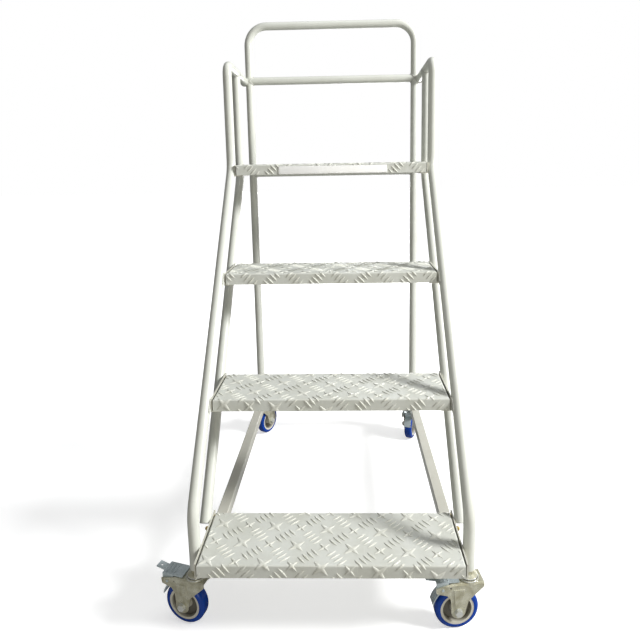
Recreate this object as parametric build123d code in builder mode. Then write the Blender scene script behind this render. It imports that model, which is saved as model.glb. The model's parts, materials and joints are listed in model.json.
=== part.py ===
from build123d import *
import os
from math import cos, radians, sin

os.makedirs("parts", exist_ok=True)

# Rolling step ladder: three checker-plate treads and a platform between two side
# frames of bent round tube, a rear arch, and four swivel casters with foot brakes.
# Lengths are in millimetres and angles in degrees. +X is to the climber's right,
# +Y runs from the lowest tread to the platform, +Z is up. The origin is on the
# floor, on the ladder's centreline, midway between the front and rear swivel axes.

# Treads and platform
tread_width = 576.0
first_depth = 184.0
second_depth = 169.0
third_depth = 165.0
platform_depth = 317.0
plate = 3.0
lip_depth = 30.0
lip_bend = 4.0
end_gap = 3.0
wheelbase = 904.0
foot_setback = 63.0

# Rise of each step over the one below it
second_rise = 282.0
third_rise = 270.0
platform_rise = 294.0

# How far back the middle steps start, as shares of the way to the platform's front
second_share = 0.3313
third_share = 0.6663

# Side angles that carry the ends of the treads
angle_wall = 3.0
angle_foot = 25.0
angle_tail = 11.0
angle_inset = 4.0

# Round tube of the side frames and the arch
tube_d = 26.8
nose_setback = 13.0
post_setback = 24.5
stringer_spacing = 163.0
rear_post_spacing = 140.0
rear_end_drop = 10.0
rear_end_bore = 45.0
rear_tube_wall = 1.6
stringer_bend = 75.0
handrail_bend = 32.0
handrail_rise = 290.0
handrail_fall = 10.0
handrail_overlap = 5.0
cope_gap = 0.1

# Rear arch and its cross tubes
arch_inset = 17.0
arch_rise = 186.0
arch_bend = 65.0
crossbar_rise = 2.0
platform_bar_drop = 29.0

# Base frame of square tube
rail_size = 28.0
rail_wall = 1.5
rail_corner = 2.0
rail_inset = 23.4
rail_lift = 7.0
rail_end_gap = 4.0

# Casters
wheel_d = 100.0
tyre_width = 28.0
tyre_wall = 11.5
tyre_shoulder = 8.0
rim_wall = 5.5
rim_width = 27.0
web_width = 8.0
hub_boss_r = 14.0
hub_width = 35.0
hub_draft = 2.0
trail = 28.0
axle_r = 5.0
running_gap = 0.05
fork_inner = 39.0
fork_wall = 2.5
fork_bend = 5.0
crown_rise = 19.0
crown_disc_r = 23.0
race_r = 22.0
race_height = 4.5
race_gap = 0.5
cap_r = 20.0
cap_height = 7.0
stem_r = 6.0
stem_grip = 30.0
stem_clearance = 1.0
foot_rise = 21.0
king_head_r = 9.0
king_head = 4.0
king_edge = 1.5
nut_across = 19.0
axle_head_across = 15.0
axle_head = 6.0
axle_stand = 3.0
washer_r = 9.0
washer = 1.6
pedal_lift = 2.0
pedal_wall = 2.0
pedal_start = 26.0
pedal_end = 78.0
pedal_gap = 0.6
pedal_skirt = 13.0
pedal_tip = 22.0
pedal_tip_width = 20.0
pedal_tip_rise = 5.0
pedal_tip_overlap = 1.0
pedal_hole_r = 2.5
pedal_hole_inset = 9.0
pedal_ribs = 3
pedal_rib_pitch = 9.0
pedal_rib_r = 1.2
pedal_rib_margin = 4.0
brake_pin_r = 3.0
brake_pin_u = 64.0
brake_pin_drop = 12.0
brake_pin_stand = 1.5
wing_hole_r = 2.0
wing_hole_u = 46.0
wing_hole_drop = 9.5
shoe_gap = 5.5
shoe_wall = 2.5
shoe_width = 24.0

# Sizes worked out from the driving ones
tube_r = tube_d / 2
foot_y = -wheelbase / 2
rear_y = wheelbase / 2
first_y = foot_y - foot_setback
platform_front = rear_y - tube_r - platform_depth - first_y

# The stems set the height of the tubes' feet, and the lowest tread sits on the rails
crown_z = wheel_d + crown_rise
foot_z = crown_z + foot_rise
rail_z = foot_z + rail_lift
rail_bore = rail_size - 2 * rail_wall
rail_bore_corner = rail_corner - rail_wall
first_top = rail_z + rail_size / 2 + angle_wall + lip_depth
second_top = first_top + second_rise
third_top = second_top + third_rise
platform_top = third_top + platform_rise

# Each row: node name, height of the top, front edge behind the lowest one's, depth
treads = [
    ("tread_1", first_top, 0.0, first_depth),
    ("tread_2", second_top, second_share * platform_front, second_depth),
    ("tread_3", third_top, third_share * platform_front, third_depth),
    ("platform", platform_top, platform_front, platform_depth),
]
handrail_z = platform_top + handrail_rise
arch_top_z = handrail_z + arch_rise
crossbar_z = handrail_z + crossbar_rise

stringer_x = tread_width / 2 + end_gap + angle_wall + tube_r
arch_x = stringer_x - arch_inset
rail_x = stringer_x - rail_inset

# The front stringer's slope passes the second and third tread at the same setback
slope_y = first_y + treads[1][2] + nose_setback
slope_z = treads[1][1]
slope = (treads[2][1] - treads[1][1]) / (treads[2][2] - treads[1][2])
post_y = first_y + platform_front + post_setback
low_bend_z = slope_z + slope * (foot_y - slope_y)
top_bend_z = slope_z + slope * (post_y - slope_y)

# The rear stringer runs parallel behind it
rear_post_y = post_y + rear_post_spacing
rear_slope_y = slope_y + stringer_spacing
rear_bend_z = slope_z + slope * (rear_post_y - rear_slope_y)
rear_end_z = first_top - rear_end_drop
rear_end_y = rear_slope_y + (rear_end_z - slope_z) / slope

# The handrail falls a little from its bend to the arch
handrail_start = (post_y, handrail_z + handrail_fall)
handrail_end = (rear_y - handrail_overlap, handrail_z)
handrail_dir = Vector(0, handrail_end[0] - post_y, -handrail_fall).normalized()
joint_share = (handrail_end[0] - rear_post_y) / (handrail_end[0] - post_y)
joint_z = handrail_z + handrail_fall * joint_share

sides = (("left", -1), ("right", 1))


def save(piece, name):
    """Label a finished piece and write its STEP file."""
    piece.label = name
    export_step(piece, f"parts/{name}.step")


# Treads: checker plate folded down on all four sides, open below
for name, top, front, depth in treads:
    with BuildPart() as tread:
        with Locations((0, first_y + front + depth / 2, top - lip_depth / 2)):
            Box(tread_width, depth, lip_depth)
        fillet(tread.faces().sort_by(Axis.Z)[-1].edges(), lip_bend)
        offset(amount=-plate, openings=tread.faces().sort_by(Axis.Z)[0])
    save(tread.part, name)

# Side angles: an upright leg against the tubes and a foot under each tread's end
for name, top, front, depth in treads:
    start = first_y + front + angle_inset
    reach = depth - angle_inset
    if name != "platform":
        reach += angle_tail
    leg = lip_depth + angle_wall
    inner_x = tread_width / 2 + end_gap
    with BuildPart() as angles:
        with BuildSketch(Plane.XZ.offset(-start)):
            with Locations((inner_x, top - leg)):
                Rectangle(angle_wall, leg, align=(Align.MIN, Align.MIN))
            with Locations((inner_x + angle_wall, top - leg)):
                Rectangle(angle_foot, angle_wall, align=(Align.MAX, Align.MIN))
        extrude(amount=-reach)
        mirror(about=Plane.YZ)
    save(angles.part, f"{name}_angles")

# Front stringers: foot, slope, post and handrail in one bent tube
for side, hand in sides:
    x = hand * stringer_x
    with BuildPart() as front_stringer:
        with BuildLine():
            FilletPolyline(
                (x, foot_y, foot_z),
                (x, foot_y, low_bend_z),
                (x, post_y, top_bend_z),
                (x, *handrail_start),
                (x, *handrail_end),
                radius=[stringer_bend, stringer_bend, handrail_bend],
            )
        with BuildSketch(Plane.XY.offset(foot_z)):
            with Locations((x, foot_y)):
                Circle(tube_r)
        sweep()
        with Locations((hand * arch_x, rear_y, handrail_z)):
            Cylinder(tube_r, 4 * tube_r, mode=Mode.SUBTRACT)
        with Locations((x, foot_y, foot_z)):
            Cylinder(
                stem_r,
                stem_grip,
                align=(Align.CENTER, Align.CENTER, Align.MIN),
                mode=Mode.SUBTRACT,
            )
    save(front_stringer.part, f"front_stringer_{side}")

# Rear stringers: an open lower end, the slope, and a post coped to the handrail
slope_dir = Vector(0, 1, slope).normalized()
for side, hand in sides:
    x = hand * stringer_x
    end_plane = Plane(origin=(x, rear_end_y, rear_end_z), z_dir=slope_dir)
    with BuildPart() as rear_stringer:
        with BuildLine():
            FilletPolyline(
                (x, rear_end_y, rear_end_z),
                (x, rear_post_y, rear_bend_z),
                (x, rear_post_y, joint_z),
                radius=stringer_bend,
            )
        with BuildSketch(end_plane):
            Circle(tube_r)
        sweep()
        with BuildSketch(end_plane):
            Circle(tube_r - rear_tube_wall)
        extrude(amount=rear_end_bore, mode=Mode.SUBTRACT)
        with Locations(Plane(origin=(x, rear_post_y, joint_z), z_dir=handrail_dir)):
            Cylinder(tube_r + cope_gap, 4 * tube_r, mode=Mode.SUBTRACT)
    save(rear_stringer.part, f"rear_stringer_{side}")

# Rear arch: both uprights and the top in one bent tube
with BuildPart() as rear_arch:
    with BuildLine():
        FilletPolyline(
            (-arch_x, rear_y, foot_z),
            (-arch_x, rear_y, arch_top_z),
            (arch_x, rear_y, arch_top_z),
            (arch_x, rear_y, foot_z),
            radius=arch_bend,
        )
    with BuildSketch(Plane.XY.offset(foot_z)):
        with Locations((-arch_x, rear_y)):
            Circle(tube_r)
    sweep()
    with Locations((-arch_x, rear_y, foot_z), (arch_x, rear_y, foot_z)):
        Cylinder(
            stem_r,
            stem_grip,
            align=(Align.CENTER, Align.CENTER, Align.MIN),
            mode=Mode.SUBTRACT,
        )
save(rear_arch.part, "rear_arch")

# Cross tubes, coped to the arch's uprights
for name, height in (
    ("crossbar", crossbar_z),
    ("platform_bar", platform_top - platform_bar_drop),
):
    with BuildPart() as cross_tube:
        with Locations((0, rear_y, height)):
            Cylinder(tube_r, 2 * arch_x, rotation=(0, 90, 0))
        with Locations((-arch_x, rear_y, height), (arch_x, rear_y, height)):
            Cylinder(tube_r, 4 * tube_r, mode=Mode.SUBTRACT)
    save(cross_tube.part, name)

# Base rails: square tube from each front foot to the rear, coped at both ends
for side, hand in sides:
    x = hand * rail_x
    with BuildPart() as base_rail:
        with BuildSketch(Plane.XZ.offset(-foot_y)):
            with Locations((x, rail_z)):
                RectangleRounded(rail_size, rail_size, rail_corner)
                RectangleRounded(
                    rail_bore, rail_bore, rail_bore_corner, mode=Mode.SUBTRACT
                )
        extrude(amount=-(wheelbase - rail_size / 2))
        with Locations((hand * stringer_x, foot_y, rail_z)):
            Cylinder(tube_r, 2 * rail_size, mode=Mode.SUBTRACT)
        with Locations((hand * arch_x, rear_y, rail_z)):
            Cylinder(tube_r, 2 * rail_size, mode=Mode.SUBTRACT)
    save(base_rail.part, f"base_rail_{side}")

with BuildPart() as rear_rail:
    with BuildSketch(Plane.YZ.offset(rail_end_gap - arch_x)):
        with Locations((rear_y, rail_z)):
            RectangleRounded(rail_size, rail_size, rail_corner)
            RectangleRounded(rail_bore, rail_bore, rail_bore_corner, mode=Mode.SUBTRACT)
    extrude(amount=2 * (arch_x - rail_end_gap))
    with Locations((-arch_x, rear_y, rail_z), (arch_x, rear_y, rail_z)):
        Cylinder(tube_r, 2 * rail_size, mode=Mode.SUBTRACT)
save(rear_rail.part, "rear_rail")

# Caster pieces are made once with the swivel axis at the origin and the wheel
# towards +X, and then set at each foot. u runs along +X, z is the height.
wheel_r = wheel_d / 2
axle_z = wheel_r
fork_half = fork_inner / 2 + fork_wall
crown_under = crown_z - fork_wall
pedal_z = crown_z + pedal_lift
brake_pin_z = crown_z - brake_pin_drop

# Corners of the fork's side outline and of its rib: distance behind the swivel
# axis, and drop below the crown
eye_r = 16.0
wing_top = [(-30.0, 0.0), (46.0, 0.0), (80.0, 8.0)]
wing_low = [(78.0, 20.0), (54.0, 27.0), (46.0, 38.0)]
leg_front = [(5.0, 43.0), (-30.0, 10.0)]
rib_outline = [(15.0, 13.0), (40.0, 13.0), (37.0, 53.0), (20.0, 53.0)]
rib_height = 1.8
rib_taper = 30.0


def below_crown(corners):
    """Turn drops below the crown into heights above the floor."""
    return [(u, crown_z - drop) for u, drop in corners]



with BuildPart() as fork:
    with BuildSketch(Plane.XZ):
        with BuildLine():
            Polyline(*below_crown(wing_top + wing_low), (trail + eye_r, axle_z))
            ThreePointArc(
                (trail + eye_r, axle_z),
                (trail, axle_z - eye_r),
                (trail - eye_r, axle_z),
            )
            Polyline((trail - eye_r, axle_z), *below_crown(leg_front + wing_top[:1]))
        make_face()
    extrude(amount=fork_half, both=True)
    with BuildSketch(Plane.YZ.offset(wing_top[0][0])) as channel:
        with Locations((0, crown_z)):
            Rectangle(2 * fork_half, crown_z, align=(Align.CENTER, Align.MAX))
        fillet(channel.vertices().group_by(Axis.Y)[-1], fork_bend)
        with Locations((0, crown_under)):
            Rectangle(
                fork_inner,
                crown_z,
                align=(Align.CENTER, Align.MAX),
                mode=Mode.SUBTRACT,
            )
    extrude(amount=wing_top[-1][0] - wing_top[0][0], mode=Mode.INTERSECT)
    with Locations((wing_top[1][0], 0, crown_z)):
        Box(
            wheel_d,
            fork_inner,
            wheel_r,
            align=(Align.MIN, Align.CENTER, Align.CENTER),
            mode=Mode.SUBTRACT,
        )
    with Locations((0, 0, crown_under)):
        Cylinder(
            crown_disc_r,
            fork_wall,
            align=(Align.CENTER, Align.CENTER, Align.MIN),
        )
    with Locations((0, 0, crown_z)):
        Cone(
            crown_disc_r,
            race_r,
            race_height,
            align=(Align.CENTER, Align.CENTER, Align.MIN),
        )
    for face_y, push in ((-fork_half, 1), (fork_half, -1)):
        with BuildSketch(Plane.XZ.offset(-face_y)):
            with BuildLine():
                Polyline(*below_crown(rib_outline), close=True)
            make_face()
        extrude(amount=push * rib_height, taper=rib_taper)
    with Locations((0, 0, crown_z)):
        Cylinder(stem_r + race_gap, wheel_r, mode=Mode.SUBTRACT)
    with Locations((trail, 0, axle_z)):
        Cylinder(axle_r, wheel_d, rotation=(90, 0, 0), mode=Mode.SUBTRACT)
    with Locations((brake_pin_u, 0, brake_pin_z)):
        Cylinder(brake_pin_r, wheel_d, rotation=(90, 0, 0), mode=Mode.SUBTRACT)
    with Locations((wing_hole_u, 0, crown_z - wing_hole_drop)):
        Cylinder(wing_hole_r, wheel_d, rotation=(90, 0, 0), mode=Mode.SUBTRACT)

# Brake pedal: a plate between the fork's wings, folded down at both sides, with an
# upturned tip that has a hole
pedal_half = fork_inner / 2 - pedal_gap
skirt_start = 50.0
skirt_end = pedal_end
with BuildPart() as pedal:
    with BuildSketch(Plane.XY.offset(pedal_z)):
        with Locations((pedal_start, 0)):
            Rectangle(
                pedal_end - pedal_start,
                2 * pedal_half,
                align=(Align.MIN, Align.CENTER),
            )
    extrude(amount=pedal_wall)
    for hand in (-1, 1):
        with Locations((skirt_start, hand * (pedal_half - pedal_wall / 2), pedal_z)):
            Box(
                skirt_end - skirt_start,
                pedal_wall,
                pedal_skirt + 2 * brake_pin_r,
                align=(Align.MIN, Align.CENTER, Align.MAX),
            )
    for n in range(1, pedal_ribs + 1):
        with Locations((pedal_end - n * pedal_rib_pitch, 0, pedal_z + pedal_wall)):
            Cylinder(
                pedal_rib_r,
                2 * (pedal_half - pedal_rib_margin),
                rotation=(90, 0, 0),
            )
    with BuildSketch(Plane.XZ.offset(-pedal_tip_width / 2)):
        with BuildLine():
            Polyline(
                (pedal_end - pedal_tip_overlap, pedal_z),
                (pedal_end + pedal_tip, pedal_z + pedal_tip_rise),
                (pedal_end + pedal_tip, pedal_z + pedal_tip_rise + pedal_wall),
                (pedal_end - pedal_tip_overlap, pedal_z + pedal_wall),
                close=True,
            )
        make_face()
    extrude(amount=pedal_tip_width)
    with Locations((pedal_end + pedal_tip - pedal_hole_inset, 0, pedal_z)):
        Cylinder(pedal_hole_r, wheel_r, mode=Mode.SUBTRACT)
    with Locations((brake_pin_u, 0, brake_pin_z)):
        Cylinder(brake_pin_r, wheel_d, rotation=(90, 0, 0), mode=Mode.SUBTRACT)

# Brake lever: a curved shoe behind the tyre, an arm and the pin it turns on
shoe_r = wheel_r + shoe_gap
shoe_angles = (14.0, 38.0, 62.0)
arm_spread = 10.0
arm_inset = 1.0
pin_eye_r = 2 * brake_pin_r


def around_axle(radius, angle):
    """Point of the wheel's plane at a radius and angle about the axle."""
    return (
        trail + radius * cos(radians(angle)),
        axle_z + radius * sin(radians(angle)),
    )


with BuildPart() as brake:
    with BuildSketch(Plane.XZ.offset(-shoe_width / 2)):
        with BuildLine():
            low, middle, high = shoe_angles
            ThreePointArc(
                around_axle(shoe_r, low),
                around_axle(shoe_r, middle),
                around_axle(shoe_r, high),
            )
            Line(around_axle(shoe_r, high), around_axle(shoe_r + shoe_wall, high))
            ThreePointArc(
                around_axle(shoe_r + shoe_wall, high),
                around_axle(shoe_r + shoe_wall, middle),
                around_axle(shoe_r + shoe_wall, low),
            )
            Line(around_axle(shoe_r + shoe_wall, low), around_axle(shoe_r, low))
        make_face()
        with Locations((brake_pin_u, brake_pin_z)):
            Circle(pin_eye_r)
        with BuildLine():
            Polyline(
                around_axle(shoe_r, high),
                around_axle(shoe_r + shoe_wall, high - arm_spread),
                (brake_pin_u + pin_eye_r - arm_inset, brake_pin_z),
                (brake_pin_u - pin_eye_r + arm_inset, brake_pin_z),
                close=True,
            )
        make_face()
    extrude(amount=shoe_width)
    with Locations((brake_pin_u, 0, brake_pin_z)):
        Cylinder(brake_pin_r, 2 * (fork_half + brake_pin_stand), rotation=(90, 0, 0))

# Wheel: a one-piece hub with a recessed web, and a crowned tyre
rim_r = wheel_r - tyre_wall
web_r = rim_r - rim_wall
with BuildPart() as hub:
    with BuildSketch(Plane.XZ) as section:
        with BuildLine():
            Polyline(
                (axle_r + running_gap, 0),
                (axle_r + running_gap, hub_width / 2),
                (hub_boss_r - hub_draft, hub_width / 2),
                (hub_boss_r, web_width / 2),
                (web_r - hub_draft, web_width / 2),
                (web_r, rim_width / 2),
                (rim_r, rim_width / 2),
                (rim_r, 0),
                close=True,
            )
        make_face()
        mirror(about=Plane.XZ)
    revolve(axis=Axis.Z)

with BuildPart() as tyre:
    with BuildSketch(Plane.XZ) as tyre_section:
        with Locations(((rim_r + wheel_r) / 2, 0)):
            Rectangle(wheel_r - rim_r, tyre_width)
        fillet(tyre_section.vertices().group_by(Axis.X)[-1], tyre_shoulder)
    revolve(axis=Axis.Z)

# Axle: a bolt across the fork with its washers, head and nut
axle_span = 2 * fork_half
with BuildPart() as axle:
    with Locations((0, 0, -axle_span / 2 - washer - axle_head)):
        Cylinder(
            axle_r,
            axle_span + 2 * (washer + axle_head) + axle_stand,
            align=(Align.CENTER, Align.CENTER, Align.MIN),
        )
    for hand in (-1, 1):
        with BuildSketch(Plane.XY.offset(hand * axle_span / 2)):
            Circle(washer_r)
        extrude(amount=hand * washer)
        with BuildSketch(Plane.XY.offset(hand * (axle_span / 2 + washer))):
            RegularPolygon(axle_head_across / 2, 6, major_radius=False)
        extrude(amount=hand * axle_head)

# Stem: the fixed upper race, king pin, nut and the stem that enters the tube
cap_z = crown_z + race_height + race_gap
cap_top = cap_z + cap_height
cap_rim = 0.4 * cap_height
cap_flat_r = 0.6 * cap_r
stem_top = foot_z + stem_grip - stem_clearance
king_top = crown_under - race_gap
with BuildPart() as stem:
    with BuildSketch(Plane.XZ) as stem_section:
        with BuildLine():
            Polyline(
                (0, king_top - king_head),
                (king_head_r - king_edge, king_top - king_head),
                (king_head_r, king_top - king_edge),
                (king_head_r, king_top),
                (stem_r, king_top),
                (stem_r, cap_z),
                (cap_r, cap_z),
                (cap_r, cap_z + cap_rim),
                (cap_flat_r, cap_top),
                (stem_r, cap_top),
                (stem_r, stem_top),
                (0, stem_top),
                close=True,
            )
        make_face()
    revolve(axis=Axis.Z)
    with BuildSketch(Plane.XY.offset(cap_top)):
        RegularPolygon(nut_across / 2, 6, major_radius=False)
    extrude(amount=foot_z - cap_top)

# The wheel's pieces turn on an axis across the fork
across = Location((trail, 0, axle_z), (90, 0, 0))
wheel_pieces = [(hub, "hub"), (tyre, "tyre"), (axle, "axle")]
swivel_pieces = [(fork, "fork"), (pedal, "pedal"), (brake, "brake"), (stem, "stem")]

# Each row: name, swivel axis x and y, and the way the wheel trails, from +X
casters = [
    ("front_left", -stringer_x, foot_y, 163.0),
    ("front_right", stringer_x, foot_y, 187.0),
    ("rear_left", -arch_x, rear_y, 62.0),
    ("rear_right", arch_x, rear_y, -109.5),
]
for corner, x, y, yaw in casters:
    place = Location((x, y, 0), (0, 0, yaw))
    for piece, name in wheel_pieces:
        save(piece.part.moved(place * across), f"{name}_{corner}")
    for piece, name in swivel_pieces:
        save(piece.part.moved(place), f"{name}_{corner}")
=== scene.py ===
"""Rolling step ladder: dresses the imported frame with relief, welds, fasteners and finishes.

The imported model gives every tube, tread and caster piece in metres, with the origin on
the floor. This script adds the checker relief, the weld beads, the nuts and bolts, the
rings of the swivel heads and the blank label plate. It gives each surface its finish, and
sets the floor, the lights and the camera.
"""

import json
import logging
import math
from contextlib import contextmanager
from dataclasses import dataclass, field
from enum import Enum
from functools import partial
from typing import Callable, Iterator

import bpy
from mathutils import Matrix, Vector


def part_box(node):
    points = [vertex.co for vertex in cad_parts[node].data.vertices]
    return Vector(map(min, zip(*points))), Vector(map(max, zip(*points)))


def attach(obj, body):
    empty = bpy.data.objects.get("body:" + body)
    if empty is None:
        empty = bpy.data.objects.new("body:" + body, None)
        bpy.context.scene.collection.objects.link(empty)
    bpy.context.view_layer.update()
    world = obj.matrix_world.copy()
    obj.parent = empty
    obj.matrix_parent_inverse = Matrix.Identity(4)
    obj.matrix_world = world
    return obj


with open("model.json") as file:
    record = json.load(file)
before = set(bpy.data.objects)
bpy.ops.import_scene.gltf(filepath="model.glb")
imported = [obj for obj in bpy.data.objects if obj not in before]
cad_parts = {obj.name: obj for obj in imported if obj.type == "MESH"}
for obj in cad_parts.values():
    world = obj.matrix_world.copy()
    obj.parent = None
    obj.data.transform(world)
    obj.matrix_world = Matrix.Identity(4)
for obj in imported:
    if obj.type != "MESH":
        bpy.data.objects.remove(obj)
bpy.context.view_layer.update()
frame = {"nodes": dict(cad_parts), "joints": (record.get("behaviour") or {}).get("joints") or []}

log = logging.getLogger("ladder")

Triple = tuple[float, float, float]
Colour = tuple[float, float, float, float]
Piece = bpy.types.Object
Socket = bpy.types.NodeSocket

MM = 0.001
TINY = 1e-6
UP = Vector((0, 0, 1))
SIDES = (("left", -1), ("right", 1))
CORNERS = ("front_left", "front_right", "rear_left", "rear_right")
TREADS = ("tread_1", "tread_2", "tread_3", "platform")


class Slot(Enum):
    """Material slots of the record that new pieces use."""

    STEEL = "powder_coated_steel"
    ZINC = "zinc_plated_steel"


class Bar(Enum):
    """Raised shapes of the checker plate."""

    PLAIN = "plain"
    STAR = "star"
    CROSS = "cross"


@dataclass(frozen=True)
class TubeFrame:
    """Places of the tubes, rails and angles, in metres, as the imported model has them."""

    radius: float = 13.4 * MM
    stringer_x: float = 307.4 * MM
    arch_x: float = 290.4 * MM
    rear_y: float = 452.0 * MM
    foot_y: float = -452.0 * MM
    post_y: float = 146.1 * MM
    rear_post_y: float = 286.1 * MM
    handrail_z: float = 1330.0 * MM
    handrail_end: float = 447.0 * MM
    handrail_fall: float = 0.03323
    crossbar_z: float = 1332.0 * MM
    platform_bar_z: float = 1011.0 * MM
    slope: float = 1.2656
    slope_y: float = -291.1 * MM
    rear_slope_y: float = -128.1 * MM
    slope_z: float = 476.0 * MM
    rail_z: float = 147.0 * MM
    rail_half: float = 14.0 * MM
    rail_end: float = 286.4 * MM
    leg_x: float = 294.0 * MM

    @property
    def post_top_z(self) -> float:
        """Height of the handrail's middle line over the rear post."""
        return self.handrail_z + self.handrail_fall * (self.handrail_end - self.rear_post_y)

    def slope_at(self, start: float, height: float) -> float:
        """Place of a sloping tube along Y at a height."""
        return start + (height - self.slope_z) / self.slope


def deselect_all() -> None:
    """Leave edit mode and select nothing."""
    if bpy.context.object and bpy.context.object.mode != "OBJECT":
        bpy.ops.object.mode_set(mode="OBJECT")
    bpy.ops.object.select_all(action="DESELECT")


def make_active(obj: Piece) -> None:
    """Select one object alone and make it active.

    Args:
        obj: The object.
    """
    deselect_all()
    obj.select_set(True)
    bpy.context.view_layer.objects.active = obj


@contextmanager
def edit_mode(obj: Piece, whole: bool = True) -> Iterator[None]:
    """Shape one object in edit mode, and leave edit mode afterwards.

    Args:
        obj: The object.
        whole: Whether all of it is selected first.

    Returns:
        A context in which the object is in edit mode.
    """
    make_active(obj)
    bpy.ops.object.mode_set(mode="EDIT")
    if whole:
        bpy.ops.mesh.select_all(action="SELECT")
    yield
    bpy.ops.object.mode_set(mode="OBJECT")


def settle(obj: Piece, place: Matrix | None = None) -> Piece:
    """Move an object's place, and a further one, into its mesh.

    Args:
        obj: The object to settle at the origin.
        place: A transform applied after the object's own.

    Returns:
        The same object.
    """
    bpy.context.view_layer.update()
    matrix = obj.matrix_world.copy()
    if place is not None:
        matrix = place @ matrix
    obj.data.transform(matrix)
    obj.matrix_world = Matrix.Identity(4)
    return obj


def copy_of(obj: Piece, place: Matrix) -> Piece:
    """Copy an object with its own mesh, and put the copy's place in its mesh.

    Args:
        obj: The object to copy.
        place: The copy's place.

    Returns:
        The copy.
    """
    twin = obj.copy()
    twin.data = obj.data.copy()
    bpy.context.scene.collection.objects.link(twin)
    twin.matrix_world = Matrix.Identity(4)
    twin.data.transform(place)
    return twin


def joined(objects: list[Piece], name: str) -> Piece:
    """Join objects into one piece.

    Args:
        objects: The objects, which all sit at the origin.
        name: The name of the finished piece.

    Returns:
        The joined object.
    """
    deselect_all()
    for obj in objects:
        obj.select_set(True)
    bpy.context.view_layer.objects.active = objects[0]
    if len(objects) > 1:
        bpy.ops.object.join()
    piece = bpy.context.view_layer.objects.active
    piece.name = name
    piece.data.name = name
    return piece


def remove(*objects: Piece) -> None:
    """Take pattern objects away once their copies are made."""
    for obj in objects:
        bpy.data.objects.remove(obj, do_unlink=True)


def smooth(obj: Piece, degrees: float) -> None:
    """Shade an object smooth, apart from its edges sharper than an angle."""
    make_active(obj)
    bpy.ops.object.shade_smooth_by_angle(angle=math.radians(degrees))


def bevel_all(obj: Piece, width: float) -> None:
    """Round every edge of an object with an applied bevel.

    Args:
        obj: The object.
        width: Width of the bevel.
    """
    make_active(obj)
    bevel = obj.modifiers.new("edges", "BEVEL")
    bevel.width = width
    bevel.segments = 2
    bevel.limit_method = "ANGLE"
    bpy.ops.object.modifier_apply(modifier=bevel.name)


def along(direction: Vector) -> Matrix:
    """Find the rotation that turns +Z to a direction, with +X kept level.

    Args:
        direction: The direction.

    Returns:
        The rotation.
    """
    z_axis = direction.normalized()
    x_axis = UP.cross(z_axis)
    if x_axis.length < TINY:
        x_axis = Vector((1, 0, 0))
    x_axis.normalize()
    y_axis = z_axis.cross(x_axis)
    return Matrix((x_axis, y_axis, z_axis)).transposed().to_4x4()


def dress(piece: Piece, material: bpy.types.Material, body: str) -> None:
    """Give a finished piece its material and the body that it rides on.

    Args:
        piece: The finished piece.
        material: Its material.
        body: The body that it rides on.
    """
    piece.data.materials.clear()
    piece.data.materials.append(material)
    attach(piece, body)
    log.info("%s: %s, %d faces", piece.name, material.name, len(piece.data.polygons))


class NodeSheet:
    """Adds and links the nodes of one node tree."""

    def __init__(self, tree: bpy.types.NodeTree) -> None:
        """Keep the tree."""
        self.tree = tree

    def put(self, target: Socket, value: object) -> None:
        """Link an input to a socket, or set it to a plain value.

        Args:
            target: The input.
            value: An output socket or a plain value.
        """
        if isinstance(value, bpy.types.NodeSocket):
            self.tree.links.new(value, target)
        else:
            target.default_value = value

    def add(self, kind: str, *terms: object, **values: object) -> bpy.types.Node:
        """Add a node and set its attributes and inputs.

        Args:
            kind: The node's type name.
            *terms: Inputs in order, as sockets or plain values.
            **values: Attributes by name, or inputs by name with spaces as underscores.

        Returns:
            The new node.
        """
        node = self.tree.nodes.new(kind)
        for key, value in values.items():
            if hasattr(node, key):
                setattr(node, key, value)
            else:
                self.put(node.inputs[key.replace("_", " ")], value)
        for target, value in zip(node.inputs, terms):
            self.put(target, value)
        return node

    def maths(self, operation: str, *terms: object, clamp: bool = False) -> Socket:
        """Work out one number from others."""
        return self.add("ShaderNodeMath", *terms, operation=operation, use_clamp=clamp).outputs[0]

    def mix(self, share: object, first: object, second: object) -> Socket:
        """Mix two colours by a share of the second."""
        node = self.add("ShaderNodeMix", data_type="RGBA", Factor=share, A=first, B=second)
        return node.outputs["Result"]

    def spread(self, value: Socket, low: float, high: float) -> Socket:
        """Stretch the range between two values to 0 to 1."""
        node = self.add("ShaderNodeMapRange", Value=value, From_Min=low, From_Max=high)
        return node.outputs["Result"]

    def noise(self, place: Socket, scale: Socket, detail: float, **values: float) -> Socket:
        """Read a soft noise at a place."""
        kind = "ShaderNodeTexNoise"
        return self.add(kind, Vector=place, Scale=scale, Detail=detail, **values).outputs["Fac"]

    def place(self) -> Socket:
        """Point of the surface in its object's coordinates."""
        return self.add("ShaderNodeTexCoord").outputs["Object"]


def rgb(red: int, green: int, blue: int) -> Colour:
    """Turn a display colour, 0 to 255, into a linear one.

    Args:
        red: Red value.
        green: Green value.
        blue: Blue value.

    Returns:
        Linear red, green, blue and an alpha of one.
    """

    def linear(value: int) -> float:
        """Decode one display value."""
        share = value / 255
        return share / 12.92 if share <= 0.04045 else ((share + 0.055) / 1.055) ** 2.4

    return (linear(red), linear(green), linear(blue), 1.0)


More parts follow.
